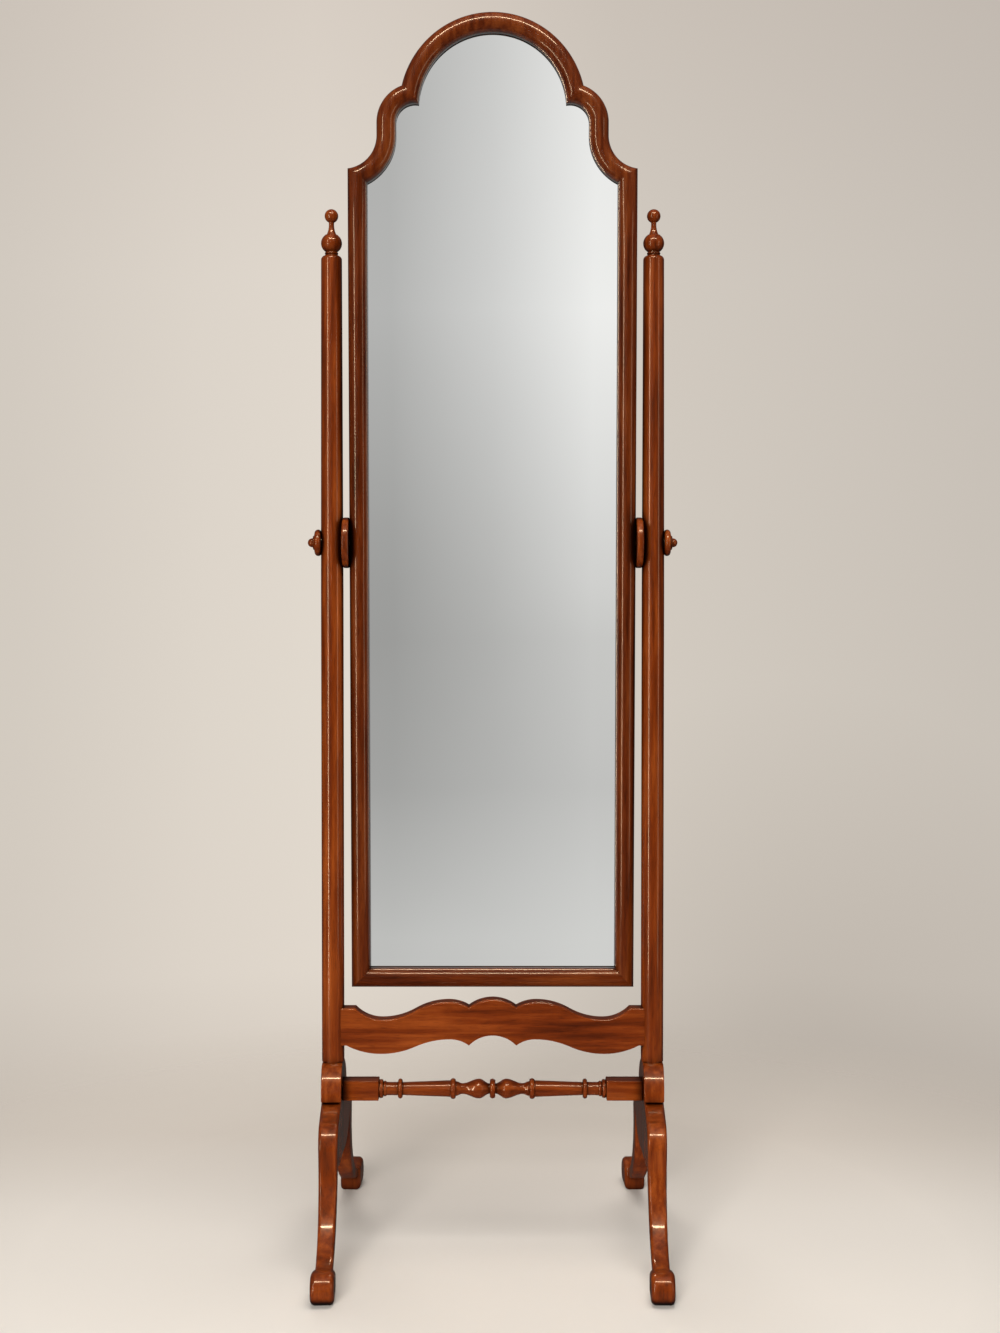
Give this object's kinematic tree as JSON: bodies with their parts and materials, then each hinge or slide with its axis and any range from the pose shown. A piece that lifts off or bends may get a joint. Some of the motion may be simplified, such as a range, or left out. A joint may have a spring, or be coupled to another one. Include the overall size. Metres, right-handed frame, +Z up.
{
  "type": "cheval mirror",
  "caption": "Tall floor-standing looking glass with an arched ogee crest, tilting between turned posts on cabriole trestles, clamped by a knob on each side.",
  "frame": {"origin": "on the floor, midway between the two posts", "axes": "+X to the viewer's right along the pivot axis, +Y away from the viewer, +Z up"},
  "size_m": [0.481, 0.4724, 1.5846],
  "materials": {
    "stained_wood": "reddish-brown mahogany stain under gloss lacquer",
    "bare_wood": "bare beech",
    "board": "brown hardboard",
    "silvered_glass": "silvered float glass",
    "steel": "zinc plated",
    "brass": "turned"
  },
  "bodies": {
    "stand": {"left_post": "stained_wood", "left_finial": "stained_wood", "left_hub": "stained_wood", "right_post": "stained_wood", "right_finial": "stained_wood", "right_hub": "stained_wood", "left_front_leg": "stained_wood", "left_back_leg": "stained_wood", "right_front_leg": "stained_wood", "right_back_leg": "stained_wood", "apron_rail": "stained_wood", "stretcher": "stained_wood", "leg_dowels": "bare_wood"},
    "looking_glass": {"left_stile": "stained_wood", "left_shoulder": "stained_wood", "left_pivot_disc": "stained_wood", "left_pivot_insert": "brass", "right_stile": "stained_wood", "right_shoulder": "stained_wood", "right_pivot_disc": "stained_wood", "right_pivot_insert": "brass", "bottom_rail": "stained_wood", "crest_arch": "stained_wood", "frame_splines": "bare_wood", "mirror_glass": "silvered_glass", "backing_board": "board", "backing_screws": "steel"},
    "left_clamp": {"left_knob": "stained_wood", "left_knob_stud": "steel", "left_knob_washer": "steel"},
    "right_clamp": {"right_knob": "stained_wood", "right_knob_stud": "steel", "right_knob_washer": "steel"}
  },
  "joints": [
    {"name": "mirror_tilt", "type": "hinge", "parent": "stand", "child": "looking_glass", "pos_m": [0, 0, 0.9104], "axis": [1, 0, 0], "range_deg": [-178, 174]},
    {"name": "left_knob_turn", "type": "hinge", "parent": "stand", "child": "left_clamp", "pos_m": [-0.2225, 0, 0.9104], "axis": [-1, 0, 0], "range_deg": [0, 720]},
    {"name": "right_knob_turn", "type": "hinge", "parent": "stand", "child": "right_clamp", "pos_m": [0.2225, 0, 0.9104], "axis": [1, 0, 0], "range_deg": [0, 720]}
  ]
}
